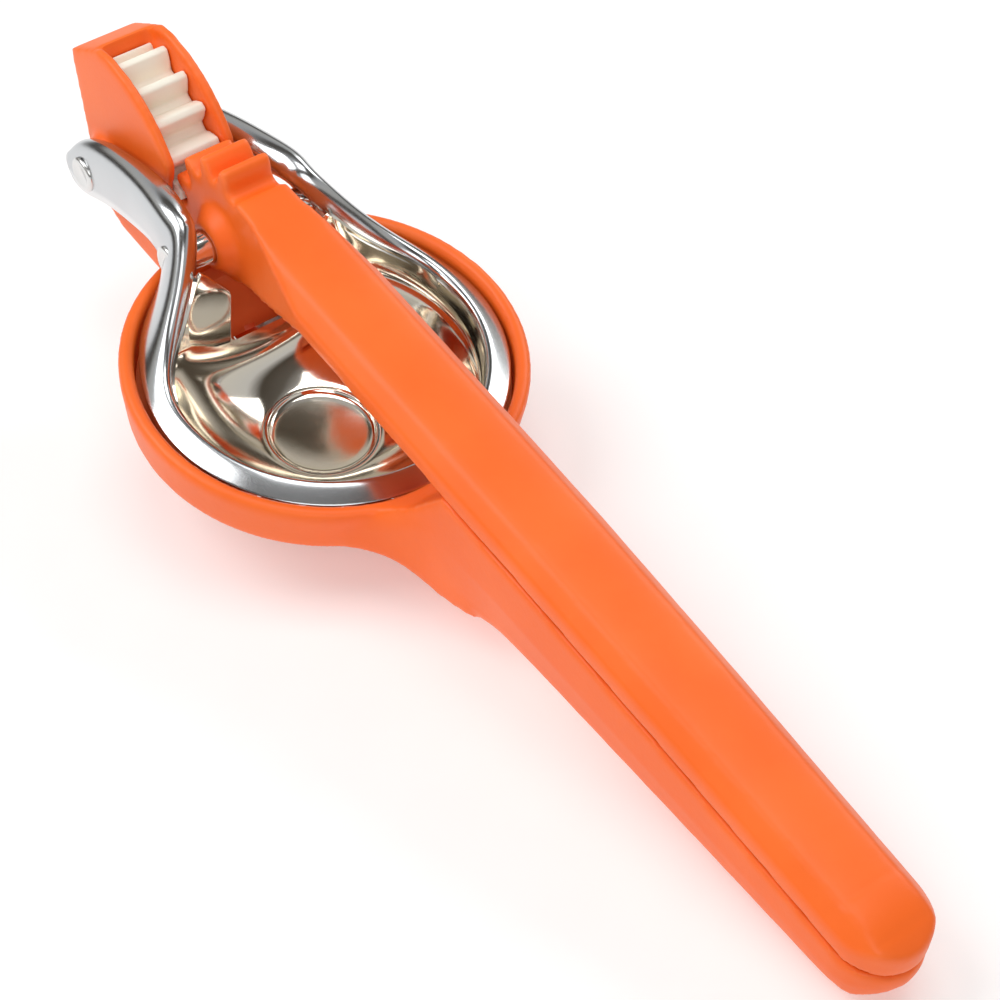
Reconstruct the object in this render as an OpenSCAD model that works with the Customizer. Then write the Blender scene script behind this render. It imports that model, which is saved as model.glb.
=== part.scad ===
// Citrus press juicer: a slotted bowl in a handled ring, and a steel press cup that a
// toothed hub on the upper handle walks up and down a fixed toothed sector.
// Every piece is drawn in the ring's frame (origin at the ring's centre, in its top
// plane, +X to the handle tips) and then laid down on the table by at_rest().

/* [Ring and strainer bowl] */
// Inner diameter of the ring
bore_d = 92; // [86:1:96]
// Wall of the ring
ring_wall = 4; // [3:0.5:5]
// Height of the ring
ring_h = 15; // [14:1:18]
// Wall of the strainer bowl
bowl_wall = 2; // [1.6:0.2:3]
// Gap between the steel cup and the strainer bowl
bowl_gap = 2; // [1.2:0.2:3]
// Width of one juice slot
slot_w = 3; // [2:0.5:4]
// Number of juice slots in the outer row
slot_count = 16; // [8:2:20]
// Diameter of the foot under the bowl
foot_d = 28; // [22:1:32]
// Height of the foot below the bowl
foot_h = 1.5; // [1:0.25:3]

/* [Steel press] */
// Sheet thickness of the press
sheet = 1.2; // [1:0.1:1.6]
// Width of the flange round the cup
flange_w = 5.4; // [4:0.2:7]
// Drop of the flange from its inner to its outer edge
flange_drop = 2.5; // [1:0.5:4]
// Height of the straight wall above the round of the cup
cup_wall_h = 7.5; // [6:0.5:9]
// Outside depth of the cup below the ring's top
cup_depth = 32.5; // [28:0.5:36]
// Diameter of the round pad pressed in the cup's bottom
pad_d = 27.5; // [20:0.5:32]
// Height of the pad's rim above the cup's lowest point
pad_up = 1.2; // [0.9:0.1:1.6]
// Distance of the cup's back wall behind the ring's centre
cup_back = 27; // [24:1:30]
// Half width of the gap in the cup's back wall
back_gap = 10; // [9:0.5:12]

/* [Gears] */
// Module of the teeth
gear_module = 2.75; // [2.6:0.05:2.9]
// Teeth on a full turn of the fixed sector
rack_teeth = 21; // [20:1:22]
// Teeth on a full turn of the hub
hub_teeth = 14; // [13:1:15]
// Face width of the teeth
face_w = 13.6; // [12:0.2:14]
// Thickness of the toothed sector behind its teeth
rack_back = 6; // [4:0.5:8]

/* [Pivots] */
// Distance of the main pivot behind the ring
pivot_behind = 32; // [28:1:38]
// Height of the main pivot above the ring's top
pivot_up = 1; // [-1:0.5:4]
// Angle of the line from the main pivot to the handle pivot
link_angle = 13.7; // [10:0.1:18]
// Diameter of both pivot pins
pin_d = 6; // [5:0.5:7]
// Diameter of the pin heads
head_d = 9.3; // [8.5:0.1:11]
// Height of the pin heads
head_h = 1; // [0.8:0.1:1.5]
// Outside half width of the arms at the main pivot
arm_half_main = 17.6; // [16.5:0.1:19]
// Outside half width of the arms at the handle pivot
arm_half_hub = 20.8; // [20:0.1:23]

/* [Fin and neck] */
// Thickness of each cheek beside the toothed sector
cheek = 2.8; // [2:0.2:3.6]
// How far the cheeks stand proud of the teeth
cheek_proud = 3; // [1.5:0.5:4]
// Half width of the neck under the hub
neck_half = 12; // [11:0.5:14]

/* [Handles] */
// Distance from the ring's centre to the handle tips
reach = 210; // [190:1:240]
// Width of the grips
grip_w = 25; // [22:0.5:30]
// Wall of both handles
grip_wall = 2.6; // [2:0.2:3.2]
// Gap between the handles when they are closed
grip_gap = 0.8; // [0.5:0.1:2]
// Height of the upper handle's top above the ring at its back end
top_back = 30; // [29:0.5:32]
// Height of the upper handle's top above the ring at its tip
top_tip = 20.5; // [18:0.5:24]
// Depth of the upper handle's side walls
skirt = 9.6; // [8:0.2:12]
// Width of the slope along the long edges of both handles
soften = 4; // [2:0.5:5]
// Thickness of the cover plates inside the handles
cover_t = 2; // [1.6:0.2:2.6]
// Diameter of the cover screws
screw_d = 2.6; // [2:0.2:3.2]

/* [Hidden] */
$fn = 96;
eps = 0.01;
fit = 0.2;               // clearance between pieces that sit in each other
run = 0.05;              // radial clearance of a turning fit
body_gap = 0.5;          // clearance between pieces that move past each other
nylon = [0.93, 0.33, 0.12];
steel = [0.75, 0.75, 0.76];
cream = [0.88, 0.84, 0.76];

bore_r = bore_d / 2;
ring_r = bore_r + ring_wall;
cup_r = bore_r - 0.7 - flange_w;                     // outside of the cup's straight wall
round_h = cup_depth - cup_wall_h;
cup_sphere = (cup_r * cup_r + round_h * round_h) / (2 * round_h);
sphere_z = cup_sphere - cup_depth;
bowl_in = cup_sphere + bowl_gap;
bowl_out = bowl_in + bowl_wall;
seat_z = -11;                                        // ledge that the bowl's rim sits on
rim_t = 2.4;

// Resting pose: the foot's face and the lower handle's heel lie on the table
heel_x = reach - 8;
heel_z = -4.2;
foot_drop = bowl_out + foot_h;
heel_rise = sphere_z - heel_z;
rest_tilt = asin(foot_drop / norm([heel_x, heel_rise])) - atan2(heel_rise, heel_x);
foot_at = [foot_drop * sin(rest_tilt), 0, sphere_z - foot_drop * cos(rest_tilt)];
module at_rest() rotate([0, rest_tilt, 0]) translate(-foot_at) children();

// Gears and pivots
rack_pitch_r = gear_module * rack_teeth / 2;
hub_pitch_r = gear_module * hub_teeth / 2;
addendum = 0.85 * gear_module;
dedendum = 1.1 * gear_module;
pressure = 25;
backlash = 0.25;
rack_tip_r = rack_pitch_r + addendum;
rack_root_r = rack_pitch_r - dedendum;
rack_in_r = rack_root_r - rack_back;
hub_tip_r = hub_pitch_r + addendum;
hub_root_r = hub_pitch_r - dedendum;
main_at = [-ring_r - pivot_behind, pivot_up];
hub_at = main_at + (rack_pitch_r + hub_pitch_r) * [cos(link_angle), sin(link_angle)];
rack_top = 104;                                      // angle of the sector's upper end
rack_low = -12;
rack_phase = link_angle + 7.3;                       // angle of one sector tooth
hub_phase = link_angle + 180 - 7.3 * rack_teeth / hub_teeth - 180 / hub_teeth;
channel_half = face_w / 2 + 0.4;                     // half width between the cheeks
fin_half = channel_half + cheek;
cheek_r = rack_tip_r + cheek_proud;
sleeve_r = pin_d / 2 + 1.2;
main_boss_r = sleeve_r + 3;
hub_boss_r = sleeve_r + 4;
washer_t = 0.5;
arm_in_main = arm_half_main - sheet;
arm_in_hub = arm_half_hub - sheet;
washer_space = washer_t + 2 * fit;

function polar(r, a) = [r * cos(a), r * sin(a)];
function arc(r, from, to, steps = 24) =
    [for (i = [0:steps]) polar(r, from + (to - from) * i / steps)];
function moved(points, by) = [for (p = points) p + by];
// Involute of a circle of radius r, at radius d
function roll(r, d) = sqrt(max(d * d / (r * r) - 1, 0)) * 180 / PI - acos(min(r / d, 1));
// Half angle that a tooth covers at radius d
function half_tooth(pitch_r, teeth, d) = let (base = pitch_r * cos(pressure))
    90 / teeth - backlash / 4 / pitch_r * 180 / PI
    + roll(base, pitch_r) - roll(base, max(d, base));
function tooth(pitch_r, teeth, root, tip) = let (n = 6)
    [for (i = [-1:n]) let (d = i < 0 ? root - 1 : root + (tip - root) * i / n)
        polar(d, -half_tooth(pitch_r, teeth, d)),
     for (i = [n:-1:-1]) let (d = i < 0 ? root - 1 : root + (tip - root) * i / n)
        polar(d, half_tooth(pitch_r, teeth, d))];
module tooth_at(pitch_r, teeth, phase, i) rotate(phase + i * 360 / teeth)
    polygon(tooth(pitch_r, teeth, pitch_r - dedendum, pitch_r + addendum));
// A side view (x, z) given thickness along y, and a pin or bore along y
module slab(y0, y1) translate([0, y1, 0]) rotate([90, 0, 0]) linear_extrude(y1 - y0) children();
module rod(at, r, y0, y1) slab(y0, y1) translate(at) circle(r);

// Side lines (x, z) of the handles: the upper one's top, and the lower one's underside
top_line = [[hub_at.x + 5.8, top_back], [90, top_back - 2.8], [140, top_back - 5.2],
    [reach - 16, top_tip + 0.8], [reach - 5, top_tip - 1], [reach, top_tip - 4]];
grip_root = ring_r - 6;                              // the lower grip starts inside the ring's wall
grip_clear = ring_r + 12;                            // and parts from the upper one here
throat = [ring_r + 35, 2.2 - ring_h];                // start of its straight underside
floor_line = [[grip_root, -ring_h], [ring_r + 6, -ring_h - 2.8], throat,
    [heel_x, heel_z], [reach, heel_z + 7]];
split_points = concat([for (p = top_line) if (p.x < reach - 10) p - [0, skirt]],
    [[reach, top_tip - 1 - skirt]]);
function split_z(x) = lookup(x, split_points);
function split_line(up, from) = [for (x = concat(from, [for (p = split_points) if (p.x > from) p.x]))
    [x, split_z(x) + up]];
function reversed(v) = [for (i = [len(v) - 1:-1:0]) v[i]];
// Band of the given thickness along the split between the handles
module split_band(up, t, from) slab(-grip_w, grip_w)
    polygon(concat(split_line(up, from), reversed(split_line(up + t, from))));
// Outline of a handle from above, from x = back to the round tip
module grip_plan(back, inset = 0) translate([0, 0, -60]) linear_extrude(150) {
    translate([reach - grip_w / 2, 0]) circle(grip_w / 2 - inset);
    translate([back, inset - grip_w / 2]) square([reach - grip_w / 2 - back, grip_w - 2 * inset]);
}
// Wedges that slope both long edges on the line from a to b, above it (up 1) or below it (up -1)
module long_edges(a, b, up, before, after)
    for (side = [-1, 1]) let (out = side * grip_w / 2, over = 0.2 * soften)
        translate([a.x, 0, a.y]) rotate([0, -atan2(b.y - a.y, b.x - a.x), 0]) translate([-before, 0, 0])
            rotate([90, 0, 90]) linear_extrude(before + norm(b - a) + after) polygon([
                [out - side * (soften + over), up * over], [out + side * over, up * over],
                [out + side * over, -up * (soften + over)]]);
cover_in = 0.6;                                      // covers sit this far inside the handles' edges
cover_back = ring_r + 16;
// One side, from above, of the round corner where the grip leaves the ring
flare = [[grip_root, grip_w / 2 + 6], [ring_r - 2.5, grip_w / 2 + 4.4], [ring_r - 0.5, grip_w / 2 + 2.8],
    [ring_r + 3, grip_w / 2 + 1], [ring_r + 8, grip_w / 2]];
screw_x = [ring_r + 32, (ring_r + reach) / 2 + 8, reach - 24];
boss_r = screw_d / 2 + 1.8;
head_r = screw_d;
screw_head = 1.2;
screw_bite = skirt - cover_in - cover_t - 1.8;       // leaves the handle's roof closed
rack_bite = 7;
// Places of the cover screws, local z along the screw and 0 on the cover's face
module lower_screw_places() for (x = screw_x)
    translate([x, 0, split_z(x) - grip_gap - cover_in]) rotate([180, 0, 0]) children();
module upper_screw_places() for (x = screw_x)
    translate([x, 0, split_z(x) + cover_in]) children();
module screw_shape(grip_t, bite) {
    translate([0, 0, 0.1]) cylinder(r = head_r, h = screw_head);
    translate([0, 0, 0.1 + screw_head - eps]) cylinder(r = screw_d / 2, h = grip_t + bite);
}
module screw_room(grip_t, bite) {
    translate([0, 0, -5]) cylinder(r = head_r + fit, h = 5.1 + screw_head);
    cylinder(r = screw_d / 2 + run, h = screw_head + grip_t + bite + 0.4);
}
cover_grip = cover_t - screw_head;

// Places of the two screws that hold the sector: across its two end faces
rack_mid_r = rack_in_r + rack_back / 2;
rack_seat = 5;
module rack_screw_places() {
    for (end = [[rack_top, rack_top - 90], [rack_low, rack_low + 90]])
        let (p = main_at + polar(rack_mid_r, end[0]))
            translate([p.x, 0, p.y]) rotate([0, 90 - end[1], 0])
                translate([0, 0, -rack_seat - screw_head - 0.1]) children();
}

// Ring, neck, fin and lower handle, one moulding
ring_draft = 1.6;                                    // the ring draws in towards its lower edge
module ring() rotate_extrude() {
    polygon([[bore_r, -ring_h], [ring_r - ring_draft - 1, -ring_h], [ring_r - ring_draft, 1 - ring_h],
        [ring_r, -ring_wall / 2], [bore_r, -ring_wall / 2]]);
    translate([bore_r + ring_wall / 2, -ring_wall / 2]) circle(ring_wall / 2);
    translate([bore_r - 2.7, -ring_h]) square([2.8, ring_h + seat_z]);
}
fin_side = concat(
    [main_at + [-8, -10], main_at + [-11.5, 2], main_at + [-18, 24.6]],
    moved(arc(cheek_r, 98, 36), main_at),
    [main_at + [25, 2], main_at + [20, -9]]);
neck_side = [main_at + [-8, -10], main_at + [-4, 0], main_at + [22, 0],
    [-bore_r, -4], [-bore_r, -ring_h], main_at + [8, -1 - ring_h]];
module lower_grip() difference() {
    intersection() {
        slab(-grip_w, grip_w) polygon(concat(floor_line,
            reversed(split_line(-grip_gap, grip_clear)), [[ring_r + 2, 4], [bore_r, 0]]));
        union() {
            difference() {
                grip_plan(grip_root);
                long_edges(throat, [heel_x, heel_z], -1, 10, 20);
            }
            translate([0, 0, -60]) linear_extrude(150)
                polygon(concat(flare, [for (p = reversed(flare)) [p.x, -p.y]]));
        }
    }
    difference() {
        intersection() {
            slab(-grip_w, grip_w) polygon(concat([for (p = floor_line) p + [0, grip_wall]],
                [[reach, 60], [grip_root, 60]]));
            grip_plan(cover_back - fit, grip_wall);
        }
        lower_screw_places() translate([0, 0, cover_t]) cylinder(r = boss_r, h = 40);
    }
    lower_screw_places() screw_room(cover_grip, screw_bite);
    translate([0, 0, -40]) cylinder(r = bore_r, h = 80);
}
module lower_body() color(nylon) {
    difference() {
        union() {
            ring();
            slab(-fin_half, fin_half) polygon(fin_side);
            slab(-neck_half, neck_half) polygon(neck_side);
            rod(main_at, main_boss_r, washer_space - arm_in_main, arm_in_main - washer_space);
        }
        slab(-channel_half, channel_half) {
            translate(main_at) polygon(concat(arc(cheek_r + 12, rack_top, rack_low),
                arc(rack_in_r - fit, rack_low, rack_top)));
            translate(hub_at) circle(hub_tip_r + body_gap);
        }
        rod(main_at, sleeve_r, -arm_half_main, arm_half_main);
        rack_screw_places() screw_room(rack_seat, 0);
        rack_screw_places() translate([0, 0, -20]) cylinder(r = head_r + fit, h = 20);
    }
    lower_grip();
}

// Strainer bowl with its juice slots and its foot
module bowl_round(r) translate([0, 0, sphere_z]) sphere(r);
module strainer_bowl() color(nylon) difference() {
    union() {
        intersection() {
            bowl_round(bowl_out);
            translate([0, 0, seat_z - 60]) cylinder(r = bore_r, h = 60);
        }
        translate([0, 0, seat_z]) cylinder(r = bore_r - 0.3, h = rim_t);
        translate([foot_at.x, 0, foot_at.z]) rotate([0, -rest_tilt, 0])
            cylinder(r = foot_d / 2, h = foot_h + 6);
    }
    bowl_round(bowl_in);
    for (i = [0:slot_count - 1]) rotate(i * 360 / slot_count)
        translate([bowl_in * 0.42, -slot_w / 2, -cup_depth - 20]) cube([bowl_in * 0.3, slot_w, 45]);
    for (a = [0:90:270]) rotate(a + 45)
        translate([4, -slot_w / 2, -cup_depth - 20]) cube([bowl_in * 0.2, slot_w, 30]);
}

// Toothed sector in the fin; its last tooth is half a tooth, against the fin's top
function flank_angle(d) = rack_phase + 5 * 360 / rack_teeth - half_tooth(rack_pitch_r, rack_teeth, d);
last_flank = [for (i = [6:-1:0]) let (d = rack_root_r + (rack_tip_r - rack_root_r) * i / 6)
    if (flank_angle(d) < rack_top - 1.2) polar(d, flank_angle(d))];
module gear_rack() color(cream) difference() {
    union() {
        slab(fit - channel_half, channel_half - fit) translate(main_at) polygon(concat(
            [polar(norm(last_flank[0]), rack_top - 1)], last_flank,
            arc(rack_root_r, flank_angle(rack_root_r) - 1, rack_low + 1),
            arc(rack_in_r, rack_low + 1, rack_top - 1)));
        for (i = [-1:4]) slab(fit - channel_half, channel_half - fit) translate(main_at)
            tooth_at(rack_pitch_r, rack_teeth, rack_phase, i);
    }
    rack_screw_places() screw_room(rack_seat, rack_bite);
}
module rack_screws() color(steel) rack_screw_places() screw_shape(rack_seat, rack_bite);
module main_sleeve() color(steel) difference() {
    rod(main_at, sleeve_r - eps, washer_space - arm_in_main, arm_in_main - washer_space);
    rod(main_at, pin_d / 2 + run, -arm_half_main, arm_half_main);
}
module lower_handle_cover() color(nylon) difference() {
    intersection() {
        split_band(-grip_gap - cover_in - cover_t, cover_t, grip_clear);
        grip_plan(cover_back, grip_wall + fit);
    }
    lower_screw_places() screw_room(cover_grip, screw_bite);
}
module lower_cover_screws() color(steel) lower_screw_places() screw_shape(cover_grip, screw_bite);

// Steel press: flange with its two arms, and the cup
flange_out = bore_r - 0.7;
arm_end_r = main_boss_r + 1.8;
fold_main = 6.4;                                     // width of the folded edge at the main pivot
fold_hub = 8;
fold_front = 3.5;
// Outside line of an arm from above; it meets the flange at its front end
arm_path = [[main_at.x - arm_end_r - 2, arm_half_main], [main_at.x + 9, arm_half_main],
    [hub_at.x - 9, arm_half_hub], [hub_at.x + 5, arm_half_hub], polar(cup_r, 120),
    polar(flange_out - 3, 106.5), polar(flange_out - 0.5, 93.8)];
arm_foot = [for (i = [4:6]) arm_path[i].x];
fold_width = [fold_main, fold_main, fold_hub, fold_hub, fold_front, fold_front, sheet];
arm_width = [for (p = arm_path) sheet];
// Height of the folded edge, and of the arm's lower edge, from the side
arm_top = [[main_at.x - 6, pivot_up + main_boss_r - 0.5], [main_at.x + 3, pivot_up + main_boss_r + 5.3],
    [main_at.x + 11, pivot_up + 15.8], [main_at.x + 27, pivot_up + 21.3],
    [hub_at.x - 10, hub_at.y + hub_boss_r + 3.9], [hub_at.x, hub_at.y + hub_boss_r + 3.9],
    [hub_at.x + 6, hub_at.y + hub_boss_r - 0.2],
    [arm_foot[0] - 4, 12.5], [arm_foot[0] + 1, 6.5], [arm_foot[1], 2], [arm_foot[2], 0]];
arm_low = [[arm_foot[2], -flange_drop], [arm_foot[0] + 2, -1.5], [hub_at.x + 6, hub_at.y - 13],
    [hub_at.x - 3, hub_at.y - 7], [hub_at.x - 10, hub_at.y - 5.2],
    [main_at.x + 17, pivot_up + 0.5], [main_at.x + 7, pivot_up - 4.5]];
function left_of(a, b) = let (d = (b - a) / norm(b - a)) [-d.y, d.x];
// A line moved to its right by a width given at each of its points
function inside(v, w) = [for (i = [0:len(v) - 1])
    let (n = left_of(v[max(i - 1, 0)], v[max(i, 1)]),
        m = left_of(v[min(i, len(v) - 2)], v[min(i + 1, len(v) - 1)]))
            v[i] - w[i] * (n + m) / (1 + n * m)];
module arm_strip(w) linear_extrude(200, center = true)
    polygon(concat(arm_path, reversed(inside(arm_path, w))));
module arm() {
    difference() {
        intersection() {
            arm_strip(arm_width);
            slab(0, 60) {
                polygon(concat(arm_top, arm_low));
                translate(main_at) circle(arm_end_r);
            }
        }
        rod(main_at, pin_d / 2 - eps, 0, 30);
        rod(hub_at, pin_d / 2 - eps, 0, 30);
    }
    intersection() {
        arm_strip(fold_width);
        slab(0, 60) polygon(concat(arm_top, [for (p = reversed(arm_top)) p - [0, sheet]]));
    }
}
module press_yoke() color(steel) {
    for (side = [0, 1]) mirror([0, side, 0]) arm();
    difference() {
        rotate_extrude() polygon([[cup_r, 0], [flange_out, -flange_drop],
            [flange_out, -flange_drop - sheet], [cup_r, -sheet]]);
        translate([-100 - cup_back, -back_gap - 8, -20]) cube([100, 2 * back_gap + 16, 40]);
    }
}
// Half section of the cup's outer or inner surface, filled to its axis
module cup_half(inset) intersection() {
    union() {
        translate([0, sphere_z]) circle(cup_sphere - inset);
        translate([0, -cup_wall_h]) square([cup_r - inset, 60]);
    }
    translate([0, -cup_depth + inset]) square([cup_r - inset, cup_depth - sheet - 0.05]);
}
pad_in = pad_d / 2 - sheet;
module press_cup() color(steel) {
    difference() {
        rotate_extrude() difference() {
            union() {
                cup_half(0);
                translate([0, pad_up - cup_depth]) square([pad_d / 2, 2]);
            }
            translate([0, 0.1]) cup_half(sheet);
            translate([0, -cup_wall_h]) square([cup_r - sheet, 60]);
            translate([0, pad_up + sheet - cup_depth]) square([pad_in, 4]);
        }
        translate([-100 - cup_back, -60, -60]) cube([100, 120, 120]);
    }
    // flat back wall with the gap that the hub reaches through
    translate([-cup_back, 0, 0]) rotate([90, 0, 90]) linear_extrude(sheet) difference() {
        intersection() {
            translate([0, sphere_z]) circle(sqrt(pow(cup_sphere - 0.4, 2) - cup_back * cup_back));
            square([2 * sqrt(pow(cup_r - 0.4, 2) - cup_back * cup_back), 200], center = true);
            translate([-50, -100]) square([100, 99]);
        }
        translate([-back_gap, hub_at.y - hub_tip_r - 6]) square([2 * back_gap, 60]);
    }
}

// Pins, collars and washers of both pivots
module pin(at, half) {
    rod(at, pin_d / 2, -half, half + 0.6);
    rod(at, head_d / 2, -half - head_h, -half);
}
module collar(at, half) difference() {
    rod(at, head_d / 2, half, half + head_h);
    rod(at, pin_d / 2 + eps, half - 1, half + 3);
}
module washer(at, in_face) difference() {
    rod(at, sleeve_r + 2, in_face - fit - washer_t, in_face - fit);
    rod(at, pin_d / 2 + run, in_face - 5, in_face + 5);
}
module main_pin() color(steel) pin(main_at, arm_half_main);
module main_pin_collar() color(steel) collar(main_at, arm_half_main);
module main_washer_left() color(cream) mirror([0, 1, 0]) washer(main_at, arm_in_main);
module main_washer_right() color(cream) washer(main_at, arm_in_main);
module hub_pin() color(steel) pin(hub_at, arm_half_hub);
module hub_pin_collar() color(steel) collar(hub_at, arm_half_hub);
module hub_washer_left() color(cream) mirror([0, 1, 0]) washer(hub_at, arm_in_hub);
module hub_washer_right() color(cream) washer(hub_at, arm_in_hub);

// Upper handle with its toothed hub
hub_boss = arm_in_hub - washer_space;
edge_over = 80;                                      // its edge slopes run on past each other
hollow_back = 5;
roof = grip_wall + 0.8;                              // wall under the handle's top
web_low = [[-4, top_back - 15], [-15, top_back - 20.5], [hub_at.x + 9.5, hub_at.y - 7.5]];
upper_side = concat(top_line, reversed(split_line(0, hollow_back)), web_low, [hub_at]);
upper_half = [[hub_at.x - 5, face_w / 2], [hub_at.x + 12, face_w / 2 + 0.6], [4, grip_w / 2],
    [reach - grip_w / 2, grip_w / 2], [reach - grip_w / 2 + 2, grip_w / 2 - 1]];
module upper_plan(inset = 0) translate([0, 0, -60]) linear_extrude(150) {
    translate([reach - grip_w / 2, 0]) circle(grip_w / 2 - inset);
    polygon(concat([for (p = upper_half) [p.x, inset - p.y]],
        [for (p = reversed(upper_half)) [p.x, p.y - inset]]));
}
module upper_handle() color(nylon) difference() {
    union() {
        difference() {
            intersection() {
                slab(-grip_w, grip_w) polygon(upper_side);
                upper_plan();
            }
            for (i = [0:3]) long_edges(top_line[i], top_line[i + 1], 1, edge_over, edge_over);
            difference() {
                intersection() {
                    slab(-grip_w, grip_w) polygon(concat(
                        [[hollow_back, lookup(hollow_back, top_line) - roof]],
                        [for (p = top_line) if (p.x > hollow_back) p - [0, roof]],
                        [[reach, -20], [hollow_back, -20]]));
                    upper_plan(grip_wall);
                }
                upper_screw_places() translate([0, 0, cover_t]) cylinder(r = boss_r, h = 40);
            }
        }
        slab(-face_w / 2, face_w / 2) translate(hub_at) {
            circle(12);
            polygon(concat([[0, 0]], arc(hub_root_r, 62, 236)));
        }
        for (i = [-3:2]) slab(-face_w / 2, face_w / 2) translate(hub_at)
            tooth_at(hub_pitch_r, hub_teeth, hub_phase, i);
        // the boss flares out to the hub; the bare sleeve bridges the rest to the arms
        for (side = [0, 1]) mirror([0, side, 0]) translate([hub_at.x, face_w / 2 - 0.5, hub_at.y])
            rotate([-90, 0, 0]) cylinder(r1 = hub_boss_r + 2, r2 = sleeve_r + 1.4, h = 5.5);
    }
    rod(hub_at, sleeve_r, -30, 30);
    upper_screw_places() screw_room(cover_grip, screw_bite);
}
module hub_sleeve() color(steel) difference() {
    rod(hub_at, sleeve_r - eps, -hub_boss, hub_boss);
    rod(hub_at, pin_d / 2 + run, -30, 30);
}
module upper_handle_cover() color(nylon) difference() {
    intersection() {
        split_band(cover_in, cover_t, hollow_back + 7);
        upper_plan(grip_wall + fit);
    }
    upper_screw_places() screw_room(cover_grip, screw_bite);
}
module upper_cover_screws() color(steel) upper_screw_places() screw_shape(cover_grip, screw_bite);

at_rest() lower_body();
at_rest() strainer_bowl();
at_rest() gear_rack();
at_rest() rack_screws();
at_rest() main_sleeve();
at_rest() lower_handle_cover();
at_rest() lower_cover_screws();
at_rest() press_yoke();
at_rest() press_cup();
at_rest() main_pin();
at_rest() main_pin_collar();
at_rest() main_washer_left();
at_rest() main_washer_right();
at_rest() hub_pin();
at_rest() hub_pin_collar();
at_rest() hub_washer_left();
at_rest() hub_washer_right();
at_rest() upper_handle();
at_rest() hub_sleeve();
at_rest() upper_handle_cover();
at_rest() upper_cover_screws();
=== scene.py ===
"""Citrus press juicer: nylon ring, fin and handles, folded steel press, cream toothed sector."""

import math

import bmesh
import bpy
import numpy as np
from mathutils import Matrix, Vector


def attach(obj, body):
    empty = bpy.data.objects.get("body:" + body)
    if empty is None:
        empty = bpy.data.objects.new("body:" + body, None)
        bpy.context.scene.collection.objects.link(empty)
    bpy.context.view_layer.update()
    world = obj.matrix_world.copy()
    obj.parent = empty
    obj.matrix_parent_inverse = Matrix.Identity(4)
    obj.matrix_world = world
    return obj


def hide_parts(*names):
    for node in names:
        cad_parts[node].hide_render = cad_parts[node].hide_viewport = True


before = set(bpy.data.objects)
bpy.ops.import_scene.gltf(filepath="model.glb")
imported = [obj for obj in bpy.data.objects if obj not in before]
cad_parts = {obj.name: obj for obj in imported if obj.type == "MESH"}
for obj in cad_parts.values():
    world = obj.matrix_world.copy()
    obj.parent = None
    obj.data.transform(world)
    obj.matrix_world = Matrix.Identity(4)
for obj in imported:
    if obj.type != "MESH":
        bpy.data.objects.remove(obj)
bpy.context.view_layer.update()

# The pieces are drawn in the ring's own frame: millimetres, origin at the centre of the ring's
# top, +X to the handle tips, +Z up. The press then lies down on its foot and heel.
MM = 0.001
REST_TILT = math.radians(9.698385)
FOOT = Vector((8.39616, 0.0, -37.28769))
LAY_DOWN = (
    Matrix.Rotation(REST_TILT, 4, "Y") @ Matrix.Scale(MM, 4) @ Matrix.Translation(-FOOT)
)
TURN_DOWN = Matrix.Rotation(REST_TILT, 4, "Y")
MAIN = Vector((-82.0, 0.0, 1.0))
HUB = Vector((-35.2442, 0.0, 12.3978))

# Ring, cup and flange
BORE_R = 46.0
CUP_R = 39.9
FLANGE_R = 45.3
FLANGE_LOW = -2.5
CUP_SPHERE_R = 44.3405
CUP_SPHERE_Z = 11.8405
CUP_BACK = 27.0
PAD_R = 13.75
SHEET = 1.1
GAP_LOW = -14.6
GAP_HALF = 10.0

# Pins: shank radius, and how far the heads sit from the middle
PIN_R = 3.0
MAIN_HALF = 17.7
HUB_HALF = 21.9

# Handles
REACH = 210.0
GRIP_HALF = 12.5
TIP_LENGTH = 16.0
TAPER_START = 60.0
TOP_LINE = ((-29.4, 30.0), (90.0, 27.2), (140.0, 24.8), (194.0, 21.3), (205.0, 19.5), (210.0, 16.5))
SKIRT = 9.6
CROWN = 1.1
DRAFT = 0.13

# Saddle that climbs from the ring's outside up to the lower grip, at x
SADDLE_START = 43.5
SADDLE_END = 100.0
SADDLE_CLIMB = 24.0
SADDLE_TOP = 17.4

# Angle between two faces above which an edge stays sharp
SHARP_EDGE = math.radians(40)


# ---------------------------------------------------------------- working tools
def put_down():
    """Nothing selected, nothing in edit mode."""
    if bpy.context.object and bpy.context.object.mode != "OBJECT":
        bpy.ops.object.mode_set(mode="OBJECT")
    bpy.ops.object.select_all(action="DESELECT")


def pick(piece):
    put_down()
    piece.select_set(True)
    bpy.context.view_layer.objects.active = piece


def named(name):
    """The piece that was just made, with its name."""
    piece = bpy.context.object
    piece.name = name
    piece.data.name = name
    return piece


def apply_modifier(piece, kind, **settings):
    pick(piece)
    modifier = piece.modifiers.new(kind.lower(), kind)
    for key, value in settings.items():
        setattr(modifier, key, value)
    bpy.ops.object.modifier_apply(modifier=modifier.name)


def tidy_mesh(piece, gap=0.02):
    """Doubles merged, then every face turned outwards."""
    pick(piece)
    bpy.ops.object.mode_set(mode="EDIT")
    bpy.ops.mesh.select_all(action="SELECT")
    bpy.ops.mesh.remove_doubles(threshold=gap)
    bpy.ops.mesh.normals_make_consistent(inside=False)
    bpy.ops.object.mode_set(mode="OBJECT")


def rounded_edges(piece, width, segments, degrees=50):
    """Bevels the edges that are sharper than the angle."""
    apply_modifier(
        piece, "BEVEL", width=width, segments=segments, limit_method="ANGLE",
        angle_limit=math.radians(degrees),
    )


def lay(piece, body, node, finish):
    """The finished piece goes down on the table, rides on its body and stands for its CAD node."""
    piece.data.transform(LAY_DOWN)
    piece.data.update()
    pick(piece)
    bpy.ops.object.shade_smooth_by_angle(angle=SHARP_EDGE)
    piece.data.materials.clear()
    piece.data.materials.append(finish)
    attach(piece, body)
    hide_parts(node)
    put_down()


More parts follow.
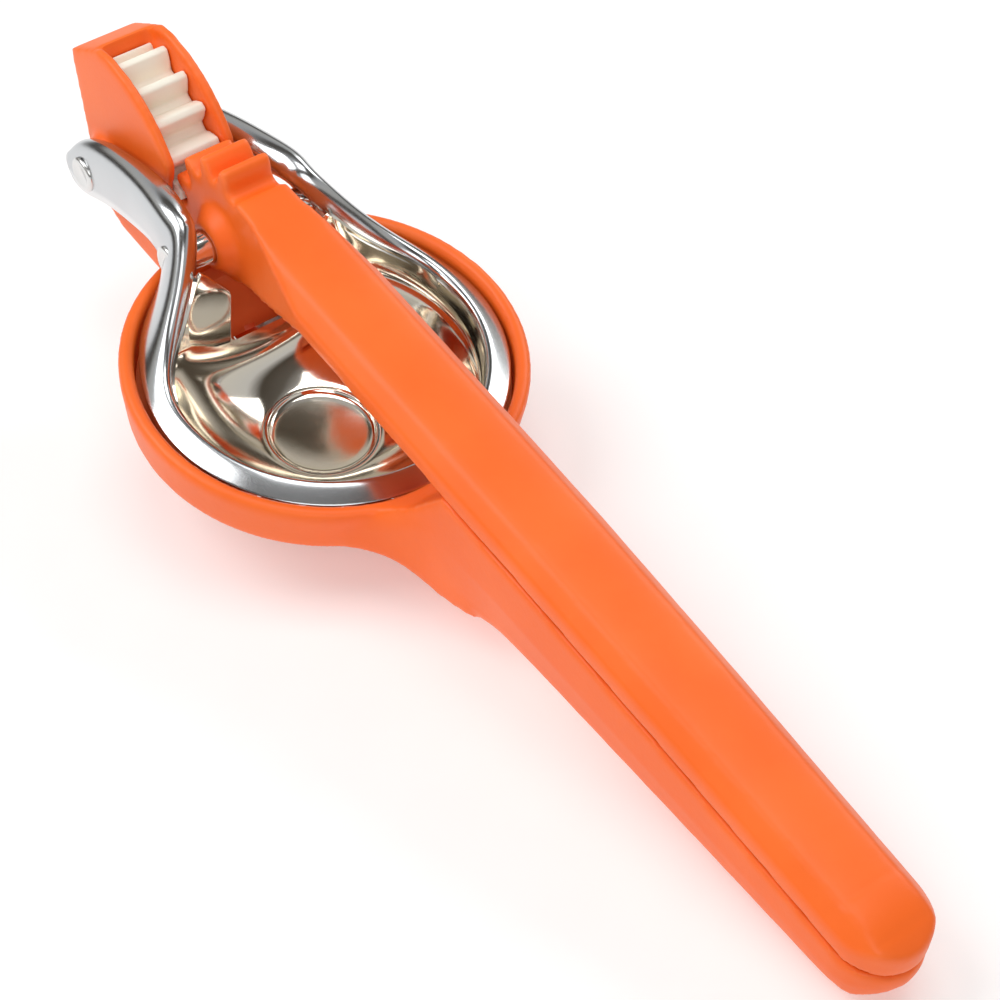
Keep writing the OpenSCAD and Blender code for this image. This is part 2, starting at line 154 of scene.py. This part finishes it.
def joined(name, pieces):
    """One piece out of several."""
    put_down()
    for piece in pieces:
        piece.select_set(True)
    bpy.context.view_layer.objects.active = pieces[0]
    bpy.ops.object.join()
    return named(name)


def outline(name, points, y0, y1):
    """A side view (x, z) cut out and drawn out from y0 to y1."""
    put_down()
    bpy.ops.mesh.primitive_circle_add(vertices=len(points), radius=1, fill_type="NGON")
    piece = named(name)
    for vertex, point in zip(piece.data.vertices, points):
        vertex.co = (point[0], y0, point[1])
    bpy.ops.object.mode_set(mode="EDIT")
    bpy.ops.mesh.select_all(action="SELECT")
    bpy.ops.mesh.extrude_region_move(TRANSFORM_OT_translate={"value": (0, y1 - y0, 0)})
    bpy.ops.object.mode_set(mode="OBJECT")
    tidy_mesh(piece)
    return piece


def drawn_out(name, sections, closed=False):
    """A row of points pulled from section to section, each section the same number of points."""
    put_down()
    bpy.ops.mesh.primitive_grid_add(
        x_subdivisions=len(sections[0]) - 1, y_subdivisions=len(sections) - 1, size=1
    )
    piece = named(name)
    places = [point for section in sections for point in section]
    for vertex, point in zip(piece.data.vertices, places):
        vertex.co = point
    if closed:
        bpy.ops.object.mode_set(mode="EDIT")
        bpy.ops.mesh.select_all(action="SELECT")
        bpy.ops.mesh.remove_doubles(threshold=0.001)
        bpy.ops.mesh.select_all(action="DESELECT")
        bpy.ops.mesh.select_non_manifold()
        bpy.ops.mesh.fill_holes(sides=0)
        bpy.ops.object.mode_set(mode="OBJECT")
    return piece


def rod(name, x, z, radius, y0, y1):
    """A round bar along Y."""
    put_down()
    bpy.ops.mesh.primitive_cylinder_add(
        vertices=64, radius=radius, depth=y1 - y0, location=(x, (y0 + y1) / 2, z),
        rotation=(math.radians(90), 0, 0),
    )
    bpy.ops.object.transform_apply(location=True, rotation=True, scale=True)
    return named(name)


def copied(node, name):
    """A copy of a CAD node's mesh, back in the ring's frame, with its loose triangles merged."""
    put_down()
    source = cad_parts[node]
    piece = bpy.data.objects.new(name, source.data.copy())
    bpy.context.scene.collection.objects.link(piece)
    piece.data.transform(LAY_DOWN.inverted())
    pick(piece)
    piece.data.name = name
    bpy.ops.object.mode_set(mode="EDIT")
    bpy.ops.mesh.select_all(action="SELECT")
    bpy.ops.mesh.remove_doubles(threshold=0.002)
    bpy.ops.object.mode_set(mode="OBJECT")
    return piece


def moulded(piece, voxel, rounds, strength=0.6):
    """Fuses what overlaps into one skin, and softens its edges and corners as a mould does."""
    apply_modifier(piece, "REMESH", mode="VOXEL", voxel_size=voxel, adaptivity=0.0)
    apply_modifier(piece, "SMOOTH", factor=strength, iterations=rounds)


def move_points(piece, rule):
    """Moves the vertices, a table of (x, y, z) rows, to where the rule says."""
    count = len(piece.data.vertices)
    flat = np.empty(count * 3, np.float32)
    piece.data.vertices.foreach_get("co", flat)
    points = rule(flat.reshape(-1, 3).astype(float))
    piece.data.vertices.foreach_set("co", points.astype(np.float32).ravel())
    piece.data.update()


def ramp(value, low, high):
    """0 below low, 1 above high, and a smooth step between them."""
    t = np.clip((value - low) / (high - low), 0, 1)
    return t * t * (3 - 2 * t)


# ---------------------------------------------------------------- finishes
class Wire:
    """A socket that can be used in sums."""

    def __init__(self, finish, socket):
        self.finish = finish
        self.socket = socket

    def sum(self, operation, first, second):
        return self.finish.node("ShaderNodeMath", {"operation": operation}, {0: first, 1: second})

    def __add__(self, other):
        return self.sum("ADD", self, other)

    __radd__ = __add__

    def __mul__(self, other):
        return self.sum("MULTIPLY", self, other)

    __rmul__ = __mul__

    def __sub__(self, other):
        return self.sum("SUBTRACT", self, other)

    def __rsub__(self, other):
        return self.sum("SUBTRACT", other, self)


class Finish:
    """One material, with its Principled shader."""

    def __init__(self, name, **constants):
        self.material = bpy.data.materials.new(name)
        self.material.use_nodes = True
        self.tree = self.material.node_tree
        self.shader = self.tree.nodes["Principled BSDF"]
        for key, value in constants.items():
            self.shader.inputs[key.replace("_", " ")].default_value = value

    def node(self, kind, settings=None, inputs=None, output=0):
        made = self.tree.nodes.new(kind)
        for key, value in (settings or {}).items():
            setattr(made, key, value)
        for key, value in (inputs or {}).items():
            self.set(made.inputs[key], value)
        return Wire(self, made.outputs[output])

    def set(self, socket, value):
        if isinstance(value, Wire):
            self.tree.links.new(value.socket, socket)
        else:
            socket.default_value = value

    def feed(self, name, value):
        self.set(self.shader.inputs[name], value)

    def place(self, stretch=(1, 1, 1)):
        where = self.node("ShaderNodeTexCoord", output="Object")
        return self.node("ShaderNodeMapping", {}, {"Vector": where, "Scale": stretch})

    def grain(self, scale, detail=4.0, stretch=(1, 1, 1), rough=0.5):
        return self.node("ShaderNodeTexNoise", {}, {
            "Vector": self.place(stretch), "Scale": scale, "Detail": detail, "Roughness": rough,
        })

    def tint(self, amount, first, second):
        return self.node(
            "ShaderNodeMix", {"data_type": "RGBA"}, {0: amount, 6: first, 7: second}, output=2
        )

    def steps(self, value, low, high):
        return self.node(
            "ShaderNodeMapRange", {"interpolation_type": "SMOOTHSTEP"},
            {"Value": value, "From Min": low, "From Max": high},
        )

    def edges(self, low=0.51, high=0.6):
        return self.steps(self.node("ShaderNodeNewGeometry", output="Pointiness"), low, high)

    def bump(self, height, strength, distance):
        self.feed("Normal", self.node(
            "ShaderNodeBump", {}, {"Height": height, "Strength": strength, "Distance": distance}
        ))


def nylon_finish(name, deep, bright, edge_highlight, rough):
    """Satin moulded nylon: cloudy pigment, fine spark grain, polished spots, and sharp edges lightened as
    a painted highlight.
    """
    finish = Finish(name, IOR=1.5, Specular_IOR_Level=0.3)
    clouds = finish.grain(38.0, 5.0)
    specks = finish.grain(900.0, 3.0)
    wipes = finish.grain(14.0, 4.0, (1, 5, 5))
    colour = finish.tint(finish.steps(clouds, 0.35, 0.68), deep, bright)
    # Painted highlight: sharp edges are tinted towards a paler colour, as if they catch the light.
    colour = finish.tint(finish.edges() * 0.35, colour, edge_highlight)
    finish.feed("Base Color", colour)
    finish.feed("Roughness", rough + 0.1 * (wipes - 0.5) + 0.08 * (specks - 0.5))
    finish.bump(specks * 0.7 + clouds * 0.3, 0.12, 0.0004)
    finish.feed("Coat Weight", 0.06 + 0.06 * wipes)
    finish.feed("Coat Roughness", 0.3)
    return finish.material


def steel_finish(name, base, dark, rough, brushed, stretch, line_scale):
    """Stainless sheet: drawing lines, faint smudges, a soft orange peel and a painted highlight on its
    sharp edges.
    """
    finish = Finish(name, Metallic=1.0, IOR=2.5)
    lines = finish.grain(line_scale, 3.0, stretch, 0.6)
    smudges = finish.grain(26.0, 4.0)
    peel = finish.grain(120.0, 2.0)
    colour = finish.tint(finish.steps(smudges, 0.42, 0.75) * 0.5, base, dark)
    # Painted highlight: sharp edges are tinted towards near-white.
    colour = finish.tint(finish.edges(0.53, 0.64) * 0.4, colour, (0.93, 0.93, 0.92, 1))
    finish.feed("Base Color", colour)
    finish.feed("Roughness", rough + brushed * (lines - 0.4) + 0.05 * smudges)
    finish.bump(lines * 0.25 + peel * 0.75, 0.05, 0.0003)
    return finish.material


# The fourth colour of each nylon is its painted edge highlight.
ORANGE = nylon_finish(
    "orange_nylon", (0.95, 0.145, 0.014, 1), (0.99, 0.165, 0.020, 1), (1.0, 0.28, 0.09, 1), 0.42
)
BOWL_ORANGE = nylon_finish(
    "orange_nylon_bowl", (0.86, 0.13, 0.02, 1), (0.92, 0.16, 0.03, 1), (0.97, 0.3, 0.12, 1), 0.46
)
COVER_ORANGE = nylon_finish(
    "orange_nylon_cover", (0.84, 0.12, 0.018, 1), (0.9, 0.15, 0.026, 1), (0.96, 0.28, 0.1, 1), 0.5
)
CREAM = nylon_finish(
    "cream_nylon", (0.90, 0.88, 0.76, 1), (0.94, 0.93, 0.83, 1), (0.98, 0.97, 0.92, 1), 0.42
)
YOKE_STEEL = steel_finish(
    "yoke_steel", (0.57, 0.585, 0.60, 1), (0.48, 0.49, 0.505, 1), 0.15, 0.1, (3, 40, 40), 60.0
)
# Painted reflection: the cup's steel is tinted warm cream, and its smudges brown, after the warm
# surroundings it mirrors; the smudge pattern itself is real.
CUP_STEEL = steel_finish(
    "cup_steel", (0.90, 0.85, 0.76, 1), (0.78, 0.71, 0.60, 1), 0.055, 0.04, (8, 8, 60), 40.0
)
PIN_STEEL = steel_finish(
    "pin_steel", (0.74, 0.74, 0.73, 1), (0.52, 0.52, 0.52, 1), 0.2, 0.15, (60, 60, 60), 30.0
)
SLEEVE_STEEL = steel_finish(
    "sleeve_steel", (0.84, 0.83, 0.81, 1), (0.7, 0.69, 0.67, 1), 0.07, 0.06, (40, 4, 40), 60.0
)
SCREW_STEEL = steel_finish(
    "screw_steel", (0.6, 0.6, 0.6, 1), (0.4, 0.4, 0.4, 1), 0.3, 0.2, (30, 30, 30), 80.0
)


# ---------------------------------------------------------------- lower body
def lower_body():
    """Ring, neck, fin and lower handle in one skin, with the saddle from the ring up to the grip."""
    body = copied("lower_body", "lower_body_skin")
    saddle = []
    for side in (-1, 1):
        sections = []
        for x in np.linspace(SADDLE_START, SADDLE_END, 29):
            sections.append([(x, side * y, z) for y, z in saddle_section(x)])
        saddle.append(drawn_out("saddle", [row + [row[0]] for row in sections], closed=True))
    for piece in saddle:
        tidy_mesh(piece)
        cut_to_ring(piece)
    body = joined("lower_body_skin", [body] + saddle)
    moulded(body, 0.95, 9)
    move_points(body, soften_lower)
    lay(body, "base", "lower_body", ORANGE)


def saddle_section(x):
    """Half of the saddle's section at x as (y, z), from the middle of its underside to its top."""
    t = (x - SADDLE_START) / SADDLE_CLIMB
    wide = GRIP_HALF - 0.2 + 11.0 * max(1 - t, 0) ** 3
    low = np.interp(x, (SADDLE_START, 56.0, 85.0, 202.0), (-14.2, -17.2, -12.5, -4.0))
    high = -1.6 + 19.0 * t ** 1.5 if t < 1 else max(SADDLE_TOP - 14 * (t - 1), 4.0)
    corner = 1.5 + 3.6 * ramp(x, 60, 96)
    return (
        (0.0, low), (wide - corner, low), (wide - corner * 0.3, low + corner * 0.3), (wide, low + corner),
        (wide, high - 4), (wide - 0.8, high - 1.5), (wide - 3, high), (0.0, high + 0.3),
    )


def cut_to_ring(piece):
    """Takes the ring's bore out of a piece."""
    put_down()
    bpy.ops.mesh.primitive_cylinder_add(vertices=128, radius=BORE_R, depth=120)
    tool = named("bore_tool")
    apply_modifier(piece, "BOOLEAN", operation="DIFFERENCE", object=tool, solver="EXACT")
    bpy.data.objects.remove(tool)


def soften_lower(points):
    """Rounds the grip's underside across its width, draws it in below, and rounds its tip."""
    x, y, z = points.T
    on_grip = ramp(x, TAPER_START, 85)
    middle = np.interp(x, (56, 85, 202, 210), (2, 4, 4, 6))
    across = np.clip(np.abs(y) / GRIP_HALF, 0, 1)
    below = np.clip((middle - z) / 12, 0, 1)
    z_new = z + on_grip * below * 1.6 * across ** 3
    tip = ramp(x, REACH - TIP_LENGTH, REACH) * below
    draft = 1 - DRAFT * on_grip * below
    return np.stack([x - tip * 1.5, y * narrowing(x) * draft, z_new + tip * 2.0], 1)


def narrowing(x):
    """Share of its width that a grip keeps at x."""
    return 1 - 0.085 * ramp(x, TAPER_START, REACH)


# ---------------------------------------------------------------- upper handle
def upper_handle():
    handle = copied("upper_handle", "upper_handle_skin")
    moulded(handle, 0.8, 8)
    move_points(handle, crown_top)
    lay(handle, "handle", "upper_handle", ORANGE)


def crown_top(points):
    """Crowns the grip's top, domes its tip and narrows it a little towards the tip."""
    x, y, z = points.T
    top = np.interp(x, [p[0] for p in TOP_LINE], [p[1] for p in TOP_LINE])
    height = np.clip((z - (top - SKIRT)) / SKIRT, 0, 1)
    along = ramp(x, -30, 10)
    half = np.interp(x, (-40, -24, 4, REACH), (7.0, 7.6, GRIP_HALF, GRIP_HALF))
    across = np.clip(np.abs(y) / half, 0, 1)
    lower = along * height * (CROWN * across ** 2)
    tip = REACH - TIP_LENGTH
    dome = np.where(x > tip, 21.4 - 5.0 * (np.clip((x - tip) / TIP_LENGTH, 0, 1)) ** 2.4, top)
    lower = lower - height * (dome - top)
    return np.stack([x, y * narrowing(x), z - lower], 1)


# ---------------------------------------------------------------- steel press
# Stations along one arm, from its nose to the flange: rim, inner bend, crest, shoulder, face
# and lower edge, each (x, y, z) on the side y > 0.
ARM = (
    ((-90.2, 11.6, 0.6), (-90.6, 12.4, 1.6), (-91.0, 14.4, 1.8),
     (-91.2, 16.6, 1.0), (-91.2, 17.5, 0.0), (-91.0, 17.6, -1.6)),
    ((-88.4, 11.2, 3.4), (-88.6, 11.6, 5.0), (-89.0, 14.2, 5.9),
     (-89.0, 17.0, 4.6), (-89.0, 17.7, 0.0), (-89.0, 17.6, -4.8)),
    ((-85.0, 11.0, 6.0), (-85.0, 11.4, 8.0), (-85.0, 14.2, 9.4),
     (-85.0, 17.2, 8.0), (-85.0, 17.8, 1.0), (-85.0, 17.6, -6.8)),
    ((-78.0, 11.0, 10.0), (-78.0, 11.3, 12.4), (-78.0, 14.2, 14.0),
     (-78.0, 17.4, 12.2), (-78.0, 18.0, 4.5), (-78.0, 17.7, -3.8)),
    ((-71.0, 11.0, 12.8), (-71.0, 11.3, 15.3), (-71.0, 14.4, 17.0),
     (-71.0, 17.7, 15.0), (-71.0, 18.3, 7.5), (-71.0, 17.9, 0.0)),
    ((-63.0, 11.2, 15.8), (-63.0, 11.5, 18.3), (-63.0, 14.8, 20.0),
     (-63.0, 18.3, 18.0), (-63.0, 19.0, 11.0), (-63.0, 18.3, 3.0)),
    ((-55.0, 11.4, 18.2), (-55.0, 11.7, 20.7), (-55.0, 15.5, 22.4),
     (-55.0, 19.0, 20.2), (-55.0, 19.8, 13.5), (-55.0, 19.2, 6.3)),
    ((-46.0, 12.0, 19.8), (-46.0, 12.3, 22.4), (-46.0, 16.3, 24.4),
     (-46.0, 20.2, 22.2), (-46.0, 21.2, 16.5), (-46.0, 20.2, 9.8)),
    ((-40.0, 13.0, 19.8), (-40.0, 13.2, 22.3), (-40.0, 17.4, 24.8),
     (-40.0, 20.9, 22.6), (-40.0, 21.8, 16.5), (-40.0, 20.7, 8.6)),
    ((-35.2, 13.9, 20.0), (-35.0, 14.2, 22.2), (-35.2, 17.9, 24.6),
     (-36.2, 21.4, 20.5), (-38.0, 22.1, 9.6), (-40.3, 20.6, 3.2)),
    ((-30.8, 16.8, 15.6), (-30.6, 17.1, 18.4), (-30.2, 20.8, 21.0),
     (-32.0, 24.7, 15.6), (-35.3, 25.3, 5.0), (-38.6, 23.6, 0.8)),
    ((-25.2, 21.6, 8.8), (-25.0, 22.0, 11.6), (-24.8, 25.8, 14.4),
     (-27.0, 29.4, 9.4), (-30.6, 31.0, 2.3), (-33.9, 30.0, -0.4)),
    ((-20.2, 28.2, 2.6), (-20.0, 28.7, 5.1), (-19.9, 32.0, 7.0),
     (-22.0, 34.6, 4.2), (-25.3, 35.9, 0.5), (-28.1, 35.5, -1.2)),
    ((-13.2, 35.8, -1.0), (-13.1, 36.3, 1.0), (-13.2, 37.9, 1.8),
     (-14.8, 39.9, 0.7), (-17.0, 41.0, -0.8), (-19.4, 41.0, -1.9)),
    ((-6.0, 38.3, -2.0), (-6.0, 38.8, -0.6), (-6.0, 40.0, 0.0),
     (-6.3, 41.8, -0.6), (-6.7, 43.4, -1.5), (-7.2, 44.9, -2.5)),
)
FLANGE = ((38.9, -2.0), (39.3, -0.6), (40.2, 0.0), (41.8, -0.7), (43.6, -1.6), (FLANGE_R, FLANGE_LOW))


def press_yoke():
    """Flange and both arms, one folded sheet from nose to nose."""
    half = [list(station) for station in ARM]
    for degrees in (86, 74, 62, 50, 38, 26, 13, 0):
        a = math.radians(degrees)
        half.append([(r * math.cos(a), r * math.sin(a), z) for r, z in FLANGE])
    other = [[(x, -y, z) for x, y, z in station] for station in reversed(half[:-1])]
    sheet = drawn_out("press_yoke_sheet", half + other)
    tidy_mesh(sheet, 0.001)
    apply_modifier(sheet, "SUBSURF", levels=2, render_levels=2)
    apply_modifier(sheet, "SOLIDIFY", thickness=SHEET, offset=-1.0, use_even_offset=True)
    rounded_edges(sheet, 0.25, 2)
    lay(sheet, "press", "press_yoke", YOKE_STEEL)


# Wall from an arm's inner edge down into the cup, from the cup's back corner to its side
CUP_SIDE = (
    ((-28.0, 18.4, 15.6), (-27.6, 20.2, 6.0), (-27.2, 22.6, -4.0)),
    ((-25.2, 21.9, 10.8), (-25.6, 24.4, 3.6), (-25.4, 27.2, -4.4)),
    ((-20.2, 28.5, 4.6), (-20.7, 30.8, 0.4), (-21.0, 32.6, -5.0)),
    ((-13.2, 36.1, 0.4), (-13.5, 36.4, -2.2), (-13.6, 36.4, -5.6)),
    ((-6.0, 38.6, -1.0), (-6.0, 38.5, -3.2), (-6.0, 38.4, -6.0)),
)
# Ear of the cup's back beside the gap, as (y, z)
EAR = (
    (GAP_HALF, GAP_LOW), (GAP_HALF, 2.6), (10.6, 4.4), (12.0, 6.2), (17.4, 13.6), (18.6, 14.6),
    (19.6, 13.6), (21.0, 8.0), (24.5, -1.0), (26.5, -7.5), (22.0, -13.0),
)


def cup_sides():
    """Both side walls and both ears of the cup's back."""
    pieces = []
    for side in (-1, 1):
        wall = drawn_out("cup_side", [[(x, side * y, z) for x, y, z in row] for row in CUP_SIDE])
        tidy_mesh(wall, 0.001)
        apply_modifier(wall, "SUBSURF", levels=2, render_levels=2)
        apply_modifier(wall, "SOLIDIFY", thickness=SHEET, offset=0.0)
        ear = outline("cup_ear", EAR, 0.0, SHEET + 0.3)
        move_points(ear, lambda p: np.stack([0.8 - CUP_BACK - p[:, 1], side * p[:, 0], p[:, 2]], 1))
        tidy_mesh(ear, 0.001)
        rounded_edges(ear, 0.3, 3)
        pieces += [wall, ear]
    return pieces


def cup_profile():
    """Inside line of the cup as (radius, z), from the bottom's middle to the flange."""
    inner = CUP_SPHERE_R - SHEET
    line = [(0.01, -30.5), (5.0, -30.4), (9.0, -30.1), (12.0, -29.75), (13.1, -29.5)]
    line += [(13.45, -29.0), (PAD_R, -28.75), (14.1, -28.85)]
    steps = 14
    for k in range(steps + 1):
        r = PAD_R + 1.3 + (CUP_R - 2.6 - PAD_R - 1.3) * k / steps
        line.append((r, CUP_SPHERE_Z - math.sqrt(inner ** 2 - r ** 2)))
    line += [(CUP_R - 1.7, -9.6), (CUP_R - 1.35, -8.2), (CUP_R - 1.15, -7.0)]
    return line + [(CUP_R - SHEET, -4.5), (CUP_R - SHEET, -1.2)]


def press_cup():
    """Spun shell with a flat back, the gap that the hub reaches through, side walls and ears."""
    line = cup_profile()
    put_down()
    bpy.ops.mesh.primitive_circle_add(vertices=len(line), radius=1, fill_type="NOTHING")
    cup = named("press_cup_shell")
    for vertex, (r, z) in zip(cup.data.vertices, line):
        vertex.co = (r, 0, z)
    bpy.ops.object.mode_set(mode="EDIT")
    bm = bmesh.from_edit_mesh(cup.data)
    bm.verts.ensure_lookup_table()
    closing = [e for e in bm.edges if {v.index for v in e.verts} == {0, len(line) - 1}]
    bmesh.ops.delete(bm, geom=closing, context="EDGES")
    bmesh.update_edit_mesh(cup.data)
    bpy.ops.mesh.select_all(action="SELECT")
    bpy.ops.mesh.spin(steps=96, angle=2 * math.pi, center=(0, 0, 0), axis=(0, 0, 1))
    bpy.ops.mesh.select_all(action="SELECT")
    bpy.ops.mesh.remove_doubles(threshold=0.05)
    bpy.ops.object.mode_set(mode="OBJECT")
    move_points(cup, flatten_back)
    apply_modifier(cup, "SUBSURF", levels=1, render_levels=1)
    tidy_mesh(cup, 0.01)
    open_faces_inwards(cup)
    apply_modifier(cup, "SOLIDIFY", thickness=SHEET, offset=-1.0, use_even_offset=True)
    gap = outline(
        "gap_tool", ((-60, GAP_LOW), (-18, GAP_LOW), (-18, 60), (-60, 60)), -GAP_HALF, GAP_HALF
    )
    rounded_edges(gap, 2.0, 5, 40)
    apply_modifier(cup, "BOOLEAN", operation="DIFFERENCE", object=gap, solver="EXACT")
    bpy.data.objects.remove(gap)
    cup = joined("press_cup_shell", [cup] + cup_sides())
    lay(cup, "press", "press_cup", CUP_STEEL)


def flatten_back(points):
    """Pulls the shell's back onto a flat wall with wide soft corners."""
    x, y, z = points.T
    soft = 2.2
    over = (-x - (CUP_BACK - 0.6)) / soft
    return np.stack([x + soft * np.logaddexp(0, over), y, z], 1)


def open_faces_inwards(piece):
    """The cup's faces look into the cup, so that its wall grows outwards."""
    pick(piece)
    centre = Vector((0, 0, -5))
    votes = sum(1 if p.normal.dot(centre - p.center) > 0 else -1 for p in piece.data.polygons)
    if votes < 0:
        bpy.ops.object.mode_set(mode="EDIT")
        bpy.ops.mesh.select_all(action="SELECT")
        bpy.ops.mesh.flip_normals()
        bpy.ops.object.mode_set(mode="OBJECT")


# ---------------------------------------------------------------- gear, pins and small parts
def gear_rack():
    rack = copied("gear_rack", "gear_rack_skin")
    moulded(rack, 0.4, 5, 0.5)
    lay(rack, "base", "gear_rack", CREAM)


# Formed head of a pin as (radius, height above the arm), from its edge to its middle
HEAD = ((4.65, 0.0), (4.65, 0.35), (4.35, 0.75), (3.9, 0.95), (3.3, 1.0), (2.9, 0.82), (0.02, 0.78))


def pin_head(name, at, face, side):
    """A formed head with a rounded edge and a shallow dish in its middle."""
    sections = []
    for radius, out in HEAD:
        sections.append([
            (at.x + radius * math.cos(a), side * (face + out), at.z + radius * math.sin(a))
            for a in np.linspace(0, 2 * math.pi, 49)
        ])
    head = drawn_out(name, sections, closed=True)
    tidy_mesh(head, 0.03)
    rounded_edges(head, 0.12, 2, 25)
    return head


def pins():
    for name, at, half in (("main_pin", MAIN, MAIN_HALF), ("hub_pin", HUB, HUB_HALF)):
        shank = rod(name + "_shank", at.x, at.z, PIN_R, -half, half)
        head = pin_head(name + "_head", at, half, -1)
        whole = joined(name + "_turned", [shank, head])
        lay(whole, "press", name, PIN_STEEL)
        far = pin_head(name + "_formed_end", at, half, 1)
        lay(far, "press", name + "_collar", PIN_STEEL)


def repaint(nodes, finish):
    """Gives CAD nodes that are kept as they are their finish."""
    for node in nodes:
        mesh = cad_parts[node].data
        mesh.materials.clear()
        mesh.materials.append(finish)


lower_body()
upper_handle()
press_yoke()
press_cup()
gear_rack()
pins()
repaint(("strainer_bowl",), BOWL_ORANGE)
repaint(("lower_handle_cover", "upper_handle_cover"), COVER_ORANGE)
repaint(("main_washer_left", "main_washer_right", "hub_washer_left", "hub_washer_right"), CREAM)
repaint(("rack_screws", "lower_cover_screws", "upper_cover_screws"), SCREW_STEEL)
repaint(("main_sleeve", "hub_sleeve"), SLEEVE_STEEL)


# ---------------------------------------------------------------- floor, light and camera
def floor():
    put_down()
    bpy.ops.mesh.primitive_plane_add(size=6.0, location=(0, 0, -0.0002))
    sheet = named("floor")
    finish = Finish("pale_floor", Roughness=0.75, Emission_Color=(1, 1, 1, 1), Emission_Strength=0.28)
    paper = finish.grain(60.0, 3.0)
    finish.feed("Base Color", finish.tint(paper, (0.74, 0.74, 0.74, 1), (0.77, 0.77, 0.77, 1)))
    sheet.data.materials.append(finish.material)


# Point that every lamp faces
LIT = Vector((0.03, 0, 0.02))


def softbox(name, place, size, power):
    light = bpy.data.lights.new(name, "AREA")
    light.shape = "RECTANGLE"
    light.size = size[0]
    light.size_y = size[1]
    light.energy = power
    lamp = bpy.data.objects.new(name, light)
    bpy.context.scene.collection.objects.link(lamp)
    lamp.location = place
    lamp.rotation_euler = (LIT - Vector(place)).to_track_quat("-Z", "Y").to_euler()


# Studio walls and ceiling, from straight down to straight up: pale floor, dark skirting, bright
# walls, a dark strip and the grey ceiling
SURROUND = (
    (0.0, (0.85, 0.85, 0.85, 1)), (0.50, (0.75, 0.75, 0.75, 1)), (0.53, (0.10, 0.09, 0.08, 1)),
    (0.60, (0.16, 0.13, 0.11, 1)), (0.66, (1.15, 1.12, 1.05, 1)), (0.80, (1.05, 1.05, 1.05, 1)),
    (0.86, (0.12, 0.10, 0.08, 1)), (0.93, (0.20, 0.18, 0.16, 1)), (1.0, (0.95, 0.95, 0.95, 1)),
)


def studio():
    world = bpy.data.worlds.new("studio")
    bpy.context.scene.world = world
    world.use_nodes = True
    tree = world.node_tree
    where = tree.nodes.new("ShaderNodeTexCoord")
    split = tree.nodes.new("ShaderNodeSeparateXYZ")
    height = tree.nodes.new("ShaderNodeMapRange")
    height.inputs["From Min"].default_value = -1.0
    walls = tree.nodes.new("ShaderNodeValToRGB")
    stops = walls.color_ramp.elements
    while len(stops) < len(SURROUND):
        stops.new(0.5)
    for stop, (at, colour) in zip(stops, SURROUND):
        stop.position = at
        stop.color = colour
    tree.links.new(where.outputs["Generated"], split.inputs[0])
    tree.links.new(split.outputs["Z"], height.inputs["Value"])
    tree.links.new(height.outputs[0], walls.inputs[0])
    tree.links.new(walls.outputs[0], tree.nodes["Background"].inputs["Color"])
    tree.nodes["Background"].inputs["Strength"].default_value = 0.5
    softbox("key", (-0.5, -0.7, 1.1), (0.9, 0.9), 9.6)
    softbox("fill", (0.9, -0.5, 0.8), (0.7, 0.7), 3.2)
    softbox("rim", (-0.2, 1.0, 0.8), (0.9, 0.5), 4.6)
    softbox("top", (0.1, 0.1, 1.4), (0.7, 0.7), 4.2)


# Viewing angle in the ring's frame: turn, rise and roll in degrees, shifts and distance in mm
VIEW_TURN = math.radians(47.632)
VIEW_RISE = math.radians(50.983)
VIEW_ROLL = math.radians(7.261)
VIEW_ACROSS = -41.965
VIEW_UP = 35.358
VIEW_FAR = 675.64
LENS = 100.8
SENSOR = 36.0


def camera():
    flat = math.cos(VIEW_RISE)
    back = Vector((math.sin(VIEW_TURN) * flat, -math.cos(VIEW_TURN) * flat, math.sin(VIEW_RISE)))
    level = Vector((math.cos(VIEW_TURN), math.sin(VIEW_TURN), 0))
    upright = back.cross(level)
    right = level * math.cos(VIEW_ROLL) + upright * math.sin(VIEW_ROLL)
    up = upright * math.cos(VIEW_ROLL) - level * math.sin(VIEW_ROLL)
    place = LAY_DOWN @ (back * VIEW_FAR - right * VIEW_ACROSS - up * VIEW_UP)
    axes = [(TURN_DOWN @ v).normalized() for v in (right, up, back)]
    data = bpy.data.cameras.new("camera")
    data.lens = LENS
    data.sensor_width = SENSOR
    data.clip_start = 0.01
    eye = bpy.data.objects.new("camera", data)
    bpy.context.scene.collection.objects.link(eye)
    eye.matrix_world = Matrix.Translation(place) @ Matrix(axes).transposed().to_4x4()
    bpy.context.scene.camera = eye


bpy.context.scene.view_settings.view_transform = "Standard"
floor()
studio()
camera()
put_down()
bpy.context.view_layer.update()
